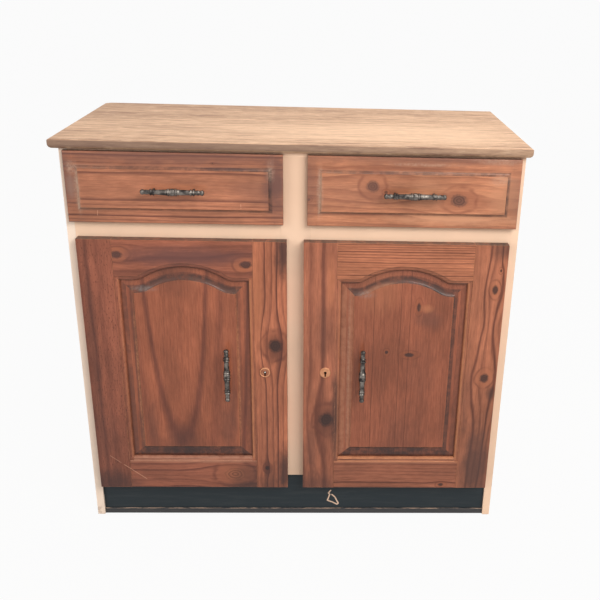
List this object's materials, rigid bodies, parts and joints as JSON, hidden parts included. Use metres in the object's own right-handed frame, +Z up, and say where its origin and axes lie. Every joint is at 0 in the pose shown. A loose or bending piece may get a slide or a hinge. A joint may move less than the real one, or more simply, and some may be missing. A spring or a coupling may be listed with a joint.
{
  "type": "kitchen base cupboard",
  "caption": "Base cupboard with a laminate worktop, drawers over arched raised-panel pine doors, cast pulls, keyholes and a dark recessed plinth.",
  "frame": {"origin": "on the floor, under the middle of the object's overall box", "axes": "+Z up, +X along the front to the right as seen from the front, -Y out of the front"},
  "size_m": [0.926, 0.4884, 0.858],
  "materials": {
    "pine": "orange-brown varnished knotty pine, satin to gloss, worn at the edges",
    "cream_board": "cream melamine facing on board, satin",
    "worktop_laminate": "beige oak-print laminate, soft sheen",
    "plinth_black": "black melamine facing, scuffed",
    "seal_strip": "dark grey plastic strip, scuffed",
    "pewter": "antique pewter, dark in the hollows and rubbed bright on the high parts",
    "escutcheon": "dull copper-toned brass",
    "steel": "plain zinc-plated",
    "drawer_box": "plain pale wood",
    "runner_wood": "waxed hardwood",
    "hardboard": "bare hardboard, matt"
  },
  "bodies": {
    "carcass": {"worktop": "worktop_laminate", "worktop_screws": "steel", "left_side_panel": "cream_board", "right_side_panel": "cream_board", "bottom_panel": "cream_board", "centre_partition": "cream_board", "back_panel": "hardboard", "centre_stile": "cream_board", "top_front_rail": "cream_board", "top_back_rail": "cream_board", "left_mid_rail": "cream_board", "right_mid_rail": "cream_board", "left_shelf": "cream_board", "right_shelf": "cream_board", "shelf_pins": "steel", "plinth_board": "plinth_black", "plinth_seal_strip": "seal_strip", "drawer_runners": "runner_wood", "runner_screws": "steel", "hinge_frame_leaves": "steel", "hinge_pins": "steel", "hinge_frame_screws": "steel"},
    "left_door": {"left_hinge_stile": "pine", "left_lock_stile": "pine", "left_top_rail": "pine", "left_bottom_rail": "pine", "left_door_panel": "pine", "left_door_handle": "pewter", "left_escutcheon": "escutcheon", "left_lock_case": "steel", "left_hinge_leaves": "steel", "left_door_screws": "steel"},
    "left_drawer": {"left_drawer_front": "pine", "left_drawer_box_front": "drawer_box", "left_drawer_outer_side": "drawer_box", "left_drawer_inner_side": "drawer_box", "left_drawer_back": "drawer_box", "left_drawer_bottom": "hardboard", "left_drawer_handle": "pewter", "left_drawer_screws": "steel"},
    "left_lock_bolt": {"left_lock_bolt": "steel"},
    "right_door": {"right_hinge_stile": "pine", "right_lock_stile": "pine", "right_top_rail": "pine", "right_bottom_rail": "pine", "right_door_panel": "pine", "right_door_handle": "pewter", "right_escutcheon": "escutcheon", "right_lock_case": "steel", "right_hinge_leaves": "steel", "right_door_screws": "steel"},
    "right_drawer": {"right_drawer_front": "pine", "right_drawer_box_front": "drawer_box", "right_drawer_outer_side": "drawer_box", "right_drawer_inner_side": "drawer_box", "right_drawer_back": "drawer_box", "right_drawer_bottom": "hardboard", "right_drawer_handle": "pewter", "right_drawer_screws": "steel"},
    "right_lock_bolt": {"right_lock_bolt": "steel"}
  },
  "joints": [
    {"name": "left_door_hinge", "type": "hinge", "parent": "carcass", "child": "left_door", "pos_m": [-0.4293, -0.19795, 0.3765], "axis": [0, 0, 1], "range_deg": [-95, 0]},
    {"name": "left_drawer_slide", "type": "slide", "parent": "carcass", "child": "left_drawer", "axis": [0, -1, 0], "range_m": [0, 0.3]},
    {"name": "left_bolt_slide", "type": "slide", "parent": "left_door", "child": "left_lock_bolt", "axis": [1, 0, 0], "range_m": [0, 0.008]},
    {"name": "right_door_hinge", "type": "hinge", "parent": "carcass", "child": "right_door", "pos_m": [0.4353, -0.19795, 0.3765], "axis": [0, 0, 1], "range_deg": [0, 95]},
    {"name": "right_drawer_slide", "type": "slide", "parent": "carcass", "child": "right_drawer", "axis": [0, -1, 0], "range_m": [0, 0.3]},
    {"name": "right_bolt_slide", "type": "slide", "parent": "right_door", "child": "right_lock_bolt", "axis": [-1, 0, 0], "range_m": [0, 0.008]}
  ]
}
